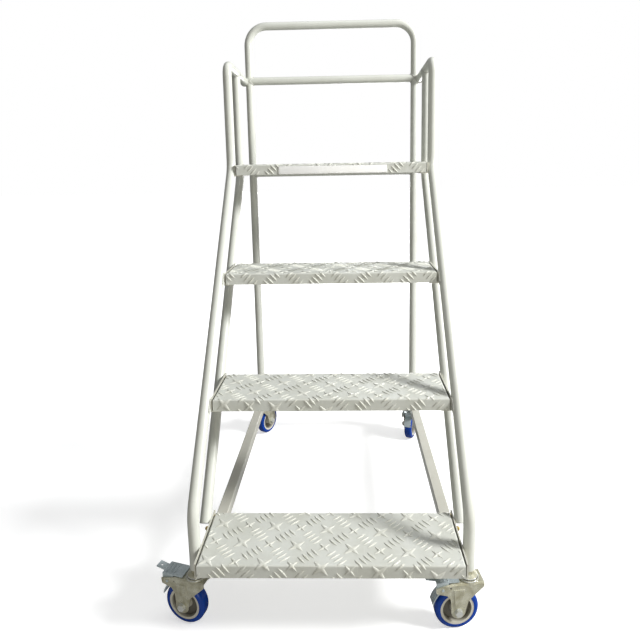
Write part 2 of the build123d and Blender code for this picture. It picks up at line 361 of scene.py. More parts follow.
@dataclass
class SharedEffects:
    """Node groups that more than one finish uses, each built once."""

    tint_range: tuple[float, float] = (0.38, 0.66)
    finer_grain: float = 4.0
    scratch_range: tuple[float, float] = (0.62, 0.74)
    scratch_ways: tuple[tuple[Triple, Triple], ...] = (
        ((0.2, 0.1, 0.6), (1.0, 14.0, 1.0)),
        ((0.2, 0.1, -0.9), (12.0, 1.0, 1.0)),
    )

    def __post_init__(self) -> None:
        """Build the groups."""
        self.mottle = self._mottle()
        self.grain = self._grain()
        self.scuff = self._scuff()
        self.ring = self._ring()

    @staticmethod
    def _group(
        name: str, inputs: dict[str, object], outputs: dict[str, str]
    ) -> tuple[NodeSheet, bpy.types.NodeOutputs, bpy.types.NodeInputs]:
        """Make an empty group with its sockets.

        Args:
            name: The group's name.
            inputs: Start values by name: a number, a place or a colour.
            outputs: Socket kinds by name.

        Returns:
            The group's sheet, what comes in, and what goes out.
        """
        tree = bpy.data.node_groups.new(name, "ShaderNodeTree")
        for title, value in inputs.items():
            parts = len(value) if isinstance(value, tuple) else 1
            kind = {1: "Float", 3: "Vector", 4: "Color"}[parts]
            socket = tree.interface.new_socket(
                title, in_out="INPUT", socket_type=f"NodeSocket{kind}"
            )
            socket.default_value = value
        for title, kind in outputs.items():
            tree.interface.new_socket(title, in_out="OUTPUT", socket_type=f"NodeSocket{kind}")
        sheet = NodeSheet(tree)
        return sheet, sheet.add("NodeGroupInput").outputs, sheet.add("NodeGroupOutput").inputs

    def _mottle(self) -> bpy.types.NodeTree:
        """Build the soft change of tint that broad surfaces show.

        Returns:
            The group.
        """
        sheet, given, result = self._group(
            "mottled_tint",
            {
                "Base": (0.5, 0.5, 0.5, 1.0),
                "Tint": (0.4, 0.4, 0.4, 1.0),
                "Scale": 9.0,
                "Amount": 0.5,
            },
            {"Color": "Color", "Mask": "Float"},
        )
        noise = sheet.noise(sheet.place(), given["Scale"], 5.0, Roughness=0.6)
        mask = sheet.maths("MULTIPLY", sheet.spread(noise, *self.tint_range), given["Amount"])
        sheet.put(result["Color"], sheet.mix(mask, given["Base"], given["Tint"]))
        sheet.put(result["Mask"], mask)
        return sheet.tree

    def _grain(self) -> bpy.types.NodeTree:
        """Build the fine height of sprayed or moulded skin.

        Returns:
            The group.
        """
        sheet, given, result = self._group(
            "skin_grain", {"Scale": 600.0, "Fine": 0.3}, {"Height": "Float"}
        )
        place = sheet.place()
        broad = sheet.noise(place, given["Scale"], 2.0)
        finer = sheet.maths("MULTIPLY", given["Scale"], self.finer_grain)
        fine = sheet.noise(place, finer, 1.0)
        sheet.put(result["Height"], sheet.maths("MULTIPLY_ADD", fine, given["Fine"], broad))
        return sheet.tree

    def _scuff(self) -> bpy.types.NodeTree:
        """Build a mask of thin crossing scratches.

        Returns:
            The group.
        """
        sheet, given, result = self._group(
            "fine_scuffs", {"Scale": 30.0, "Amount": 0.5}, {"Mask": "Float"}
        )
        place = sheet.place()
        ways: list[Socket] = []
        for turn, stretch in self.scratch_ways:
            mapping = sheet.add("ShaderNodeMapping", Vector=place, Rotation=turn, Scale=stretch)
            noise = sheet.noise(mapping.outputs["Vector"], given["Scale"], 3.0)
            ways.append(sheet.spread(noise, *self.scratch_range))
        both = sheet.maths("MAXIMUM", *ways)
        sheet.put(result["Mask"], sheet.maths("MULTIPLY", both, given["Amount"]))
        return sheet.tree

    def _ring(self) -> bpy.types.NodeTree:
        """Build a mask of the ring between two radii about an axis.

        Returns:
            The group.
        """
        sheet, given, result = self._group(
            "ring_about_axis",
            {
                "Centre": (0.0, 0.0, 0.0),
                "Axis": (1.0, 0.0, 0.0),
                "Inner": 0.01,
                "Outer": 0.03,
                "Fade": 0.002,
            },
            {"Mask": "Float"},
        )
        vector = "ShaderNodeVectorMath"
        offset = sheet.add(vector, sheet.place(), given["Centre"], operation="SUBTRACT")
        across = sheet.add(
            vector, offset.outputs["Vector"], given["Axis"], operation="CROSS_PRODUCT"
        )
        length = sheet.add(vector, across.outputs["Vector"], operation="LENGTH")
        radius = length.outputs["Value"]
        sides: list[Socket] = []
        for outer, inner in ((radius, given["Inner"]), (given["Outer"], radius)):
            gap = sheet.maths("SUBTRACT", outer, inner)
            sides.append(sheet.maths("DIVIDE", gap, given["Fade"], clamp=True))
        sheet.put(result["Mask"], sheet.maths("MULTIPLY", *sides))
        return sheet.tree


@dataclass(frozen=True)
class RecessShade:
    """Painted shade: a dark colour painted into the recess of one wheel, where the recess lies in
    shade.
    """

    centre: Triple
    axis: Triple
    inner: float
    outer: float
    # Colour of the painted shade in the recess.
    colour: Colour = rgb(52, 46, 34)
    amount: float = 0.86

    def over(self, sheet: NodeSheet, effects: SharedEffects, unshaded: Socket) -> Socket:
        """Paint the recess's shade over the unshaded colour.

        Args:
            sheet: Node sheet of the material.
            effects: The shared node groups.
            unshaded: The colour before the painted shade.

        Returns:
            The colour with painted shade in the recess.
        """
        ring = sheet.add(
            "ShaderNodeGroup",
            node_tree=effects.ring,
            Centre=self.centre,
            Axis=self.axis,
            Inner=self.inner,
            Outer=self.outer,
        )
        strength = sheet.maths("MULTIPLY", ring.outputs["Mask"], self.amount)
        return sheet.mix(strength, unshaded, self.colour)


@dataclass(frozen=True)
class Finish:
    """One finish: its colours, gloss and grain."""

    name: str
    base: Colour
    tint: Colour
    worn: Colour
    metallic: float = 0.0
    specular: float = 0.5
    roughness: tuple[float, float] = (0.3, 0.4)
    coat: float = 0.0
    coat_roughness: float = 0.12
    mottle_scale: float = 9.0
    mottle_amount: float = 0.5
    grain_scale: float = 600.0
    grain_depth: float = 0.00004
    grain_strength: float = 0.35
    scuff_scale: float = 30.0
    scuff_amount: float = 0.3
    scuff_dulling: float = 0.15

    def material(self, effects: SharedEffects, recess_shade: RecessShade | None = None) -> bpy.types.Material:
        """Build the finish's material.

        Args:
            effects: The shared node groups.
            recess_shade: Painted shade in a wheel's recess, if it has any.

        Returns:
            The finished material.
        """
        material = bpy.data.materials.new(self.name)
        material.use_nodes = True
        material.diffuse_color = self.base
        sheet = NodeSheet(material.node_tree)
        shader = material.node_tree.nodes["Principled BSDF"].inputs
        shader["Metallic"].default_value = self.metallic
        shader["Specular IOR Level"].default_value = self.specular
        shader["Coat Weight"].default_value = self.coat
        shader["Coat Roughness"].default_value = self.coat_roughness

        mottle = sheet.add(
            "ShaderNodeGroup",
            node_tree=effects.mottle,
            Base=self.base,
            Tint=self.tint,
            Scale=self.mottle_scale,
            Amount=self.mottle_amount,
        )
        scuff = sheet.add(
            "ShaderNodeGroup",
            node_tree=effects.scuff,
            Scale=self.scuff_scale,
            Amount=self.scuff_amount,
        ).outputs["Mask"]
        colour = sheet.mix(scuff, mottle.outputs["Color"], self.worn)
        # Painted shade: a hub's recess is darkened where it lies in shade.
        if recess_shade is not None:
            colour = recess_shade.over(sheet, effects, colour)
        sheet.put(shader["Base Color"], colour)

        low, high = self.roughness
        gloss = sheet.add(
            "ShaderNodeMapRange", Value=mottle.outputs["Mask"], To_Min=low, To_Max=high
        ).outputs["Result"]
        dulled = sheet.maths("MULTIPLY_ADD", scuff, self.scuff_dulling, gloss)
        sheet.put(shader["Roughness"], dulled)

        grain = sheet.add("ShaderNodeGroup", node_tree=effects.grain, Scale=self.grain_scale)
        bump = sheet.add(
            "ShaderNodeBump",
            Strength=self.grain_strength,
            Distance=self.grain_depth,
            Height=grain.outputs["Height"],
        )
        sheet.put(shader["Normal"], bump.outputs["Normal"])
        return material


TUBE_COAT = Finish(
    "tube_powder_coat",
    base=rgb(214, 216, 208),
    tint=rgb(203, 205, 195),
    worn=rgb(182, 184, 172),
    specular=0.35,
    roughness=(0.28, 0.38),
    scuff_amount=0.18,
)
PLATE_COAT = Finish(
    "plate_powder_coat",
    base=rgb(208, 210, 203),
    tint=rgb(192, 193, 182),
    worn=rgb(222, 223, 216),
    specular=0.4,
    roughness=(0.36, 0.48),
    mottle_scale=14.0,
    mottle_amount=0.7,
    scuff_scale=22.0,
    scuff_amount=0.35,
)
RELIEF_COAT = Finish(
    "relief_powder_coat",
    base=rgb(210, 211, 202),
    tint=rgb(196, 196, 182),
    worn=rgb(226, 227, 220),
    specular=0.4,
    roughness=(0.36, 0.48),
    mottle_scale=40.0,
    scuff_amount=0.4,
)
RAIL_COAT = Finish(
    "rail_powder_coat",
    base=rgb(204, 203, 192),
    tint=rgb(190, 188, 174),
    worn=rgb(168, 160, 138),
    roughness=(0.3, 0.42),
    coat=0.25,
    mottle_scale=11.0,
    scuff_amount=0.3,
)
WELD_COAT = Finish(
    "weld_powder_coat",
    base=rgb(198, 199, 192),
    tint=rgb(170, 168, 156),
    worn=rgb(150, 146, 130),
    roughness=(0.32, 0.5),
    coat=0.2,
    mottle_scale=160.0,
    grain_scale=900.0,
    grain_depth=0.0002,
)
FORK_ZINC = Finish(
    "fork_zinc_plate",
    base=rgb(206, 205, 186),
    tint=rgb(152, 147, 118),
    worn=rgb(222, 222, 206),
    metallic=0.45,
    roughness=(0.24, 0.4),
    mottle_scale=55.0,
    mottle_amount=0.8,
    grain_scale=1500.0,
    scuff_scale=60.0,
    scuff_amount=0.4,
)
BOLT_ZINC = Finish(
    "bolt_bright_zinc_plate",
    base=rgb(222, 224, 220),
    tint=rgb(196, 198, 190),
    worn=rgb(236, 236, 232),
    metallic=0.55,
    roughness=(0.16, 0.28),
    mottle_scale=90.0,
    grain_scale=1500.0,
    scuff_scale=90.0,
)
PEDAL_ZINC = Finish(
    "pedal_blue_zinc_plate",
    base=rgb(204, 216, 220),
    tint=rgb(176, 188, 192),
    worn=rgb(228, 232, 232),
    metallic=0.4,
    roughness=(0.24, 0.38),
    mottle_scale=48.0,
    mottle_amount=0.8,
    grain_scale=1500.0,
    scuff_scale=60.0,
    scuff_amount=0.45,
)
# Painted shade: a dark ring put in the gap between a caster's race and cap, where there is only
# shade.
GAP_SHADE_DARK = Finish(
    "painted_gap_shade",
    base=rgb(44, 42, 36),
    tint=rgb(30, 29, 25),
    worn=rgb(84, 80, 68),
    roughness=(0.5, 0.64),
    mottle_scale=80.0,
    grain_scale=1500.0,
)
YELLOW_ZINC = Finish(
    "yellow_zinc_plate",
    base=rgb(214, 186, 112),
    tint=rgb(184, 160, 110),
    worn=rgb(206, 196, 160),
    metallic=0.9,
    roughness=(0.22, 0.36),
    mottle_scale=120.0,
    mottle_amount=0.9,
    grain_scale=2000.0,
    scuff_scale=120.0,
)
HUB_PLASTIC = Finish(
    "hub_moulded_plastic",
    base=rgb(214, 211, 198),
    tint=rgb(200, 196, 180),
    worn=rgb(176, 170, 152),
    roughness=(0.38, 0.5),
    mottle_scale=60.0,
    grain_scale=1800.0,
    scuff_scale=80.0,
    scuff_amount=0.2,
)
TYRE_BLUE = Finish(
    "tyre_blue_polyurethane",
    base=rgb(2, 64, 164),
    tint=rgb(1, 38, 108),
    worn=rgb(20, 80, 166),
    specular=0.3,
    roughness=(0.1, 0.2),
    mottle_scale=40.0,
    grain_scale=900.0,
    grain_depth=0.00006,
    scuff_scale=60.0,
    scuff_amount=0.25,
)
LABEL_VINYL = Finish(
    "label_white_vinyl",
    base=rgb(254, 254, 253),
    tint=rgb(250, 250, 247),
    worn=rgb(236, 235, 228),
    roughness=(0.3, 0.42),
    coat=0.3,
    mottle_scale=30.0,
    grain_scale=1200.0,
    scuff_amount=0.2,
)


@dataclass(frozen=True)
class Lattice:
    """Where one plate's pattern lies: the place of a star, and the turn in degrees."""

    across: float
    along: float
    turn: float


@dataclass
class CheckerRelief:
    """Raised bars of the treads: groups of four, with stars and crosses between."""

    pitch: float = 62.3 * MM
    bar_length: float = 29.0 * MM
    bar_width: float = 5.8 * MM
    bar_step: float = 12.4 * MM
    bars_in_group: int = 4
    star_length: float = 47.0 * MM
    star_width: float = 11.0 * MM
    cross_length: float = 34.0 * MM
    cross_width: float = 6.6 * MM
    height: float = 2.0 * MM
    point_height: float = 0.5
    bar_segments: int = 10
    bar_rings: int = 9
    sink: float = 0.4 * MM
    bend: float = 4.0 * MM
    side_margin: float = 4.6 * MM
    lip_margin: float = 1.0 * MM
    smooth_to: float = 50.0
    lattices: dict[str, Lattice] = field(
        default_factory=lambda: {
            "tread_1": Lattice(-269.0 * MM, 12.9 * MM, -5.0),
            "tread_2": Lattice(-261.0 * MM, -14.0 * MM, -5.0),
            "tread_3": Lattice(56.0 * MM, 13.9 * MM, 0.0),
            "platform": Lattice(40.2 * MM, 13.9 * MM, 0.0),
        }
    )

    @property
    def arc(self) -> float:
        """Length of plate that one bend takes up."""
        return self.bend * math.pi / 2

    def _model_bar(self, name: str, length: float, width: float) -> Piece:
        """Model one pointed bar, flat on the plate, lying along X.

        Args:
            name: Name of the bar.
            length: Length over its points.
            width: Width at its middle.

        Returns:
            The bar, which reaches a little below the plate's surface.
        """
        deselect_all()
        bpy.ops.mesh.primitive_uv_sphere_add(
            segments=self.bar_segments,
            ring_count=self.bar_rings,
            radius=0.5,
            rotation=(0, math.pi / 2, 0),
        )
        bar = settle(bpy.context.object)
        bar.name = name
        with edit_mode(bar):
            bpy.ops.transform.resize(value=(length, width, 2 * self.height))
        for vertex in bar.data.vertices:
            reach = min(1.0, abs(2 * vertex.co.x / length))
            taper = math.sqrt(1 - reach * reach)
            vertex.co.y *= taper
            vertex.co.z *= self.point_height + (1 - self.point_height) * taper
        with edit_mode(bar):
            bpy.ops.mesh.bisect(
                plane_co=(0, 0, -self.sink), plane_no=(0, 0, 1), clear_inner=True, use_fill=True
            )
        return bar

    def _crossed(self, bar: Piece) -> Piece:
        """Make a four-pointed shape of four arms, cut with a mitre from one bar.

        The bar is alike on both sides, so the arms' cut edges meet exactly.

        Args:
            bar: The bar, which becomes the first arm.

        Returns:
            The shape, welded where its arms meet.
        """
        with edit_mode(bar):
            for normal in ((-1, 1, 0), (-1, -1, 0)):
                bpy.ops.mesh.select_all(action="SELECT")
                bpy.ops.mesh.bisect(
                    plane_co=(0, 0, 0), plane_no=normal, clear_outer=True, threshold=TINY
                )
        quarters = (Matrix.Rotation(n * math.pi / 2, 4, "Z") for n in (1, 2, 3))
        shape = joined([bar, *(copy_of(bar, quarter) for quarter in quarters)], bar.name)
        with edit_mode(shape):
            bpy.ops.mesh.remove_doubles(threshold=TINY)
        return shape

    def _shapes(self) -> dict[Bar, Piece]:
        """Model each raised shape once.

        Returns:
            The shapes by kind.
        """
        plain = self._model_bar("plain_bar", self.bar_length, self.bar_width)
        star = self._model_bar("star", self.star_length, self.star_width)
        cross = self._model_bar("cross", self.cross_length, self.cross_width)
        return {Bar.PLAIN: plain, Bar.STAR: self._crossed(star), Bar.CROSS: self._crossed(cross)}

    def _layout(
        self, lattice: Lattice, half: float, low: float, high: float
    ) -> list[tuple[Bar, Matrix]]:
        """Place the shapes on the unfolded plate.

        Args:
            lattice: Where the plate's pattern lies.
            half: Half of the plate's width.
            low: Lower end of the unfolded length.
            high: Upper end of the unfolded length.

        Returns:
            The kind and place of each shape that reaches the plate.
        """
        turn = math.radians(lattice.turn)
        step_i = Vector((math.cos(turn), math.sin(turn))) * self.pitch
        step_j = Vector((-step_i.y, step_i.x))
        count = int((2 * half + high - low) / self.pitch) + 2
        places: list[tuple[Bar, Matrix]] = []
        reach = self.star_length / 2

        def put(kind: Bar, at: Vector, angle: float) -> None:
            """Keep a shape if any of it can lie on the plate.

            Args:
                kind: Kind of shape.
                at: Place of its middle.
                angle: Its turn.
            """
            if abs(at.x) < half + reach and low - reach < at.y < high + reach:
                spot = Matrix.Translation((at.x, at.y, 0))
                places.append((kind, spot @ Matrix.Rotation(angle, 4, "Z")))

        for i in range(-count, count):
            for j in range(-count, count):
                corner = Vector((lattice.across, lattice.along)) + step_i * i + step_j * j
                even = (i + j) % 2 == 0
                put(Bar.STAR if even else Bar.CROSS, corner, turn + math.pi / 4)
                centre = corner + (step_i + step_j) / 2
                angle = turn + (math.pi / 4 if even else -math.pi / 4)
                across = Vector((-math.sin(angle), math.cos(angle)))
                for bar in range(self.bars_in_group):
                    offset = (bar - (self.bars_in_group - 1) / 2) * self.bar_step
                    put(Bar.PLAIN, centre + across * offset, angle)
        return places

    @staticmethod
    def _trim(relief: Piece, half: float, low: float, high: float) -> None:
        """Cut the flat relief off square at the plate's edges.

        Args:
            relief: The flat relief.
            half: Half of the plate's width.
            low: Lower end of the unfolded length.
            high: Upper end of the unfolded length.
        """
        cuts = (
            ((half, 0, 0), (1, 0, 0)),
            ((-half, 0, 0), (-1, 0, 0)),
            ((0, high, 0), (0, 1, 0)),
            ((0, low, 0), (0, -1, 0)),
        )
        with edit_mode(relief):
            for point, normal in cuts:
                bpy.ops.mesh.select_all(action="SELECT")
                bpy.ops.mesh.bisect(
                    plane_co=point, plane_no=normal, clear_outer=True, use_fill=True
                )

    def _fold(self, relief: Piece, low: Vector, high: Vector, flat: float) -> None:
        """Bend the flat relief over the plate's front and rear lips.

        Args:
            relief: The flat relief.
            low: Lowest corner of the plate.
            high: Highest corner of the plate.
            flat: Length of the flat top between the bends.
        """
        for vertex in relief.data.vertices:
            x, along_plate, rise = vertex.co
            # The flat top runs from 0 to its length; what lies past either end bends down.
            front = along_plate < flat / 2
            past = -along_plate if front else along_plate - flat
            angle = min(max(past / self.bend, 0.0), math.pi / 2)
            drop = max(past - self.arc, 0.0)
            out = (self.bend + rise) * math.sin(angle)
            up = (self.bend + rise) * math.cos(angle) - self.bend - drop
            if past <= 0:
                y = low.y + self.bend + along_plate
            elif front:
                y = low.y + self.bend - out
            else:
                y = high.y - self.bend + out
            vertex.co = (x, y, high.z + up)

    def build(self, finish: bpy.types.Material) -> None:
        """Lay the relief on each tread and the platform.

        Args:
            finish: Material of the raised shapes.
        """
        shapes = self._shapes()
        for node in TREADS:
            low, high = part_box(node)
            half = (high.x - low.x) / 2 - self.side_margin
            lip = high.z - low.z - self.bend - self.lip_margin
            flat = high.y - low.y - 2 * self.bend
            ends = (-self.arc - lip, flat + self.arc + lip)
            places = self._layout(self.lattices[node], half, *ends)
            copies = [copy_of(shapes[kind], place) for kind, place in places]
            relief = joined(copies, f"{node}_relief")
            self._trim(relief, half, *ends)
            self._fold(relief, low, high, flat)
            smooth(relief, self.smooth_to)
            dress(relief, finish, "root")
        remove(*shapes.values())


@dataclass
class Welds:
    """Weld beads where the tubes, rails and angles meet."""

    tubes: TubeFrame
    bead: float = 2.4 * MM
    model_ring: float = 24.0 * MM
    ring_steps: int = 80
    bead_sides: int = 8
    ripple: float = 0.14
    ripples: int = 26
    path_step: float = 0.02
    rail_corner: float = 0.2
    seam_bead: float = 1.7 * MM
    seam_rings: int = 40
    seam_ripples: float = 60.0
    seam_taper: float = 6.0
    seam_offset: float = 6.0 * MM
    seam_depth: float = 0.6 * MM
    seam_short: float = 4.0 * MM
    smooth_to: float = 80.0

    def _ring(self, path: Callable[[float], Vector], centre: Vector) -> Piece:
        """Model a closed bead along a path.

        Args:
            path: Point of the seam at an angle from 0 to 2 pi.
            centre: Middle of the joint, away from which the bead stands.

        Returns:
            The bead.
        """
        deselect_all()
        bpy.ops.mesh.primitive_torus_add(
            major_segments=self.ring_steps,
            minor_segments=self.bead_sides,
            major_radius=self.model_ring,
            minor_radius=self.bead,
        )
        ring = bpy.context.object
        # The torus is laid along the path: its long way round picks the point of the seam.
        for vertex in ring.data.vertices:
            angle = math.atan2(vertex.co.y, vertex.co.x)
            side = math.hypot(vertex.co.x, vertex.co.y) - self.model_ring
            point = path(angle)
            run = (path(angle + self.path_step) - path(angle - self.path_step)).normalized()
            outward = point - centre
            outward = (outward - run * outward.dot(run)).normalized()
            third = run.cross(outward)
            swell = 1 + self.ripple * math.sin(self.ripples * angle)
            vertex.co = point + (outward * side + third * vertex.co.z) * swell
        with edit_mode(ring):
            bpy.ops.mesh.normals_make_consistent(inside=False)
        return ring

    def _stick(self) -> Piece:
        """Model one straight bead, one metre long along Z, as a rippled stick.

        Returns:
            The bead.
        """
        deselect_all()
        bpy.ops.mesh.primitive_uv_sphere_add(
            segments=self.bead_sides, ring_count=self.seam_rings, radius=1.0
        )
        stick = bpy.context.object
        for vertex in stick.data.vertices:
            share = math.acos(max(-1.0, min(1.0, vertex.co.z))) / math.pi
            radius = math.hypot(vertex.co.x, vertex.co.y)
            end = min(1.0, self.seam_taper * share, self.seam_taper * (1 - share))
            swell = 1 + self.ripple * math.sin(share * self.seam_ripples)
            wide = self.seam_bead * math.sqrt(end) * swell
            scale = wide / radius if radius > TINY else 0.0
            vertex.co = (vertex.co.x * scale, vertex.co.y * scale, 0.5 - share)
        return stick

    def _post_top(self, hand: int, angle: float) -> Vector:
        """Find a point of the seam between a rear post and its handrail.

        Args:
            hand: Side of the ladder, -1 or 1.
            angle: Angle round the seam.

        Returns:
            The point.
        """
        t = self.tubes
        behind = t.radius * math.sin(angle)
        height = t.post_top_z - abs(behind) - t.handrail_fall * behind
        x = hand * t.stringer_x + t.radius * math.cos(angle)
        return Vector((x, t.rear_post_y + behind, height))

    def _handrail_end(self, hand: int, angle: float) -> Vector:
        """Find a point of the seam between a handrail's end and the arch.

        Args:
            hand: Side of the ladder, -1 or 1.
            angle: Angle round the seam.

        Returns:
            The point.
        """
        t = self.tubes
        x = hand * t.stringer_x + t.radius * math.cos(angle)
        round_arch = t.radius * t.radius - (x - hand * t.arch_x) ** 2
        back = math.sqrt(max(round_arch, (t.rear_y - t.handrail_end) ** 2))
        return Vector((x, t.rear_y - back, t.handrail_z + t.radius * math.sin(angle)))

    def _bar_end(self, hand: int, height: float, angle: float) -> Vector:
        """Find a point of the seam between a cross tube and the arch's upright.

        Args:
            hand: Side of the ladder, -1 or 1.
            height: Height of the cross tube.
            angle: Angle round the seam.

        Returns:
            The point.
        """
        t = self.tubes
        aside = t.radius * math.cos(angle)
        x = t.arch_x - math.sqrt(max(t.radius * t.radius - aside * aside, 0.0))
        return Vector((hand * x, t.rear_y + aside, height + t.radius * math.sin(angle)))

    def _rail_end(self, hand: int, angle: float) -> Vector:
        """Find a point of the seam between the rear rail and the arch's upright.

        Args:
            hand: Side of the ladder, -1 or 1.
            angle: Angle round the seam, which is square with rounded corners.

        Returns:
            The point.
        """
        t = self.tubes
        aside, rise = (
            t.rail_half * math.copysign(abs(value) ** self.rail_corner, value)
            for value in (math.cos(angle), math.sin(angle))
        )
        round_arch = t.radius * t.radius - aside * aside
        x = t.arch_x - math.sqrt(max(round_arch, (t.arch_x - t.rail_end) ** 2))
        return Vector((hand * x, t.rear_y + aside, t.rail_z + rise))

    def _tube_rings(self) -> list[Piece]:
        """Model the beads round the ends of the round tubes.

        Returns:
            The beads.
        """
        t = self.tubes
        rings: list[Piece] = []
        for _, hand in SIDES:
            x = hand * t.stringer_x
            post_centre = Vector((x, t.rear_post_y, t.post_top_z))
            end_centre = Vector((x, t.rear_y - t.radius, t.handrail_z))
            rings.append(self._ring(partial(self._post_top, hand), post_centre))
            rings.append(self._ring(partial(self._handrail_end, hand), end_centre))
            for height in (t.crossbar_z, t.platform_bar_z):
                centre = Vector((hand * (t.arch_x - t.radius), t.rear_y, height))
                rings.append(self._ring(partial(self._bar_end, hand, height), centre))
        return rings

    def _rail_rings(self) -> list[Piece]:
        """Model the beads round the ends of the rear rail.

        Returns:
            The beads.
        """
        t = self.tubes
        rings: list[Piece] = []
        for _, hand in SIDES:
            centre = Vector((hand * (t.arch_x - t.radius), t.rear_y, t.rail_z))
            rings.append(self._ring(partial(self._rail_end, hand), centre))
        return rings

    def _runs(self, node: str, middle: float) -> list[tuple[float, Vector]]:
        """Find the tubes that carry a tread's angles.

        Args:
            node: The tread or the platform.
            middle: Height of the angles' middle.

        Returns:
            Each tube's place along Y at that height, and its direction.
        """
        t = self.tubes
        if node == "platform":
            return [(t.post_y, UP), (t.rear_post_y, UP)]
        if node == "tread_1":
            return [(t.foot_y, UP)]
        sloped = Vector((0, 1, t.slope)).normalized()
        return [(t.slope_at(start, middle), sloped) for start in (t.slope_y, t.rear_slope_y)]

    def _seams(self) -> list[Piece]:
        """Model the straight beads between the angles and the tubes behind them.

        Returns:
            The beads.
        """
        stick = self._stick()
        seams: list[Piece] = []
        for node in TREADS:
            low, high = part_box(f"{node}_angles")
            middle = (low.z + high.z) / 2
            for y, run in self._runs(node, middle):
                sideways = Vector((0, run.z, -run.y))
                length = (high.z - low.z - self.seam_short) / run.z
                turn = along(run) @ Matrix.Diagonal((1, 1, length, 1))
                for hand in (-1, 1):
                    for edge in (-1, 1):
                        place = Vector((hand * (self.tubes.leg_x + self.seam_depth), y, middle))
                        place += sideways * edge * self.seam_offset
                        seams.append(copy_of(stick, Matrix.Translation(place) @ turn))
        remove(stick)
        return seams

    def build(self, finish: bpy.types.Material) -> None:
        """Lay all the beads and give them their finish.

        Args:
            finish: Material of the beads.
        """
        for name, beads in (
            ("tube_weld_beads", self._tube_rings()),
            ("rail_weld_beads", self._rail_rings()),
            ("angle_weld_beads", self._seams()),
        ):
            piece = joined(beads, name)
            smooth(piece, self.smooth_to)
            dress(piece, finish, "root")


@dataclass
class Fasteners:
    """Hexagon nuts, bolts and washers on the treads' angles."""

    tubes: TubeFrame
    across: float = 10.0 * MM
    thickness: float = 5.0 * MM
    chamfer: float = 0.6 * MM
    washer_r: float = 6.2 * MM
    washer: float = 1.2 * MM
    washer_sides: int = 32
    thread_r: float = 3.0 * MM
    thread_out: float = 3.0 * MM
    thread_pitch: float = 1.0 * MM
    thread_root: float = 0.88
    thread_sides: int = 20
    end_nut: tuple[float, float] = (-378.0 * MM, 184.0 * MM)
    inner_scale: float = 0.8
    inner_rise: float = 2.0 * MM
    leg_wall: float = 3.0 * MM
    smooth_to: float = 30.0

    def _cylinder(self, radius: float, depth: float, bottom: float, **values: object) -> Piece:
        """Add an upright cylinder as the start of a shape.

        Args:
            radius: Its radius.
            depth: Its height.
            bottom: Height of its lower end.
            **values: Further settings of the cylinder.

        Returns:
            The cylinder.
        """
        deselect_all()
        bpy.ops.mesh.primitive_cylinder_add(
            radius=radius, depth=depth, location=(0, 0, bottom + depth / 2), **values
        )
        return settle(bpy.context.object)

    def _thread(self) -> Piece:
        """Model the bolt's end as a stack of thread turns.

        Returns:
            The bolt's end.
        """
        half_turn = self.thread_pitch / 2
        base = self.washer + self.thickness - self.thread_pitch
        thread = self._cylinder(
            self.thread_r,
            self.thread_out,
            base,
            vertices=self.thread_sides,
            end_fill_type="TRIFAN",
        )
        with edit_mode(thread):
            for n in range(1, round(self.thread_out / half_turn)):
                bpy.ops.mesh.select_all(action="SELECT")
                bpy.ops.mesh.bisect(plane_co=(0, 0, base + n * half_turn), plane_no=UP)
        for vertex in thread.data.vertices:
            if round((vertex.co.z - base) / half_turn) % 2:
                vertex.co.x *= self.thread_root
                vertex.co.y *= self.thread_root
        return thread

    def _nut(self) -> Piece:
        """Model a nut on its washer with the bolt's end, standing on the XY plane.

        Returns:
            The nut.
        """
        washer = self._cylinder(self.washer_r, self.washer, 0.0, vertices=self.washer_sides)
        bevel_all(washer, self.washer / 4)
        corner = self.across / math.sqrt(3)
        hexagon = self._cylinder(corner, self.thickness, self.washer, vertices=6)
        bevel_all(hexagon, self.chamfer)
        nut = joined([washer, hexagon, self._thread()], "nut")
        smooth(nut, self.smooth_to)
        return nut

    def build(self, finish: bpy.types.Material) -> None:
        """Put the nuts and bolts in place.

        Args:
            finish: Material of the plated fasteners.
        """
        nut = self._nut()
        copies: list[Piece] = []
        leg = self.tubes.leg_x
        small = Matrix.Scale(self.inner_scale, 4)
        for _, hand in SIDES:
            outward = along(Vector((hand, 0, 0)))
            inward = along(Vector((-hand, 0, 0)))
            outer = Matrix.Translation((hand * leg, *self.end_nut))
            copies.append(copy_of(nut, outer @ outward))
            for node in TREADS[:3]:
                low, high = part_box(f"{node}_angles")
                _, tread_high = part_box(node)
                y = (tread_high.y + high.y) / 2
                z = (low.z + high.z) / 2 + self.inner_rise
                inner = Matrix.Translation((hand * (leg - self.leg_wall), y, z))
                copies.append(copy_of(nut, inner @ inward @ small))
        remove(nut)
        dress(joined(copies, "angle_fasteners"), finish, "root")


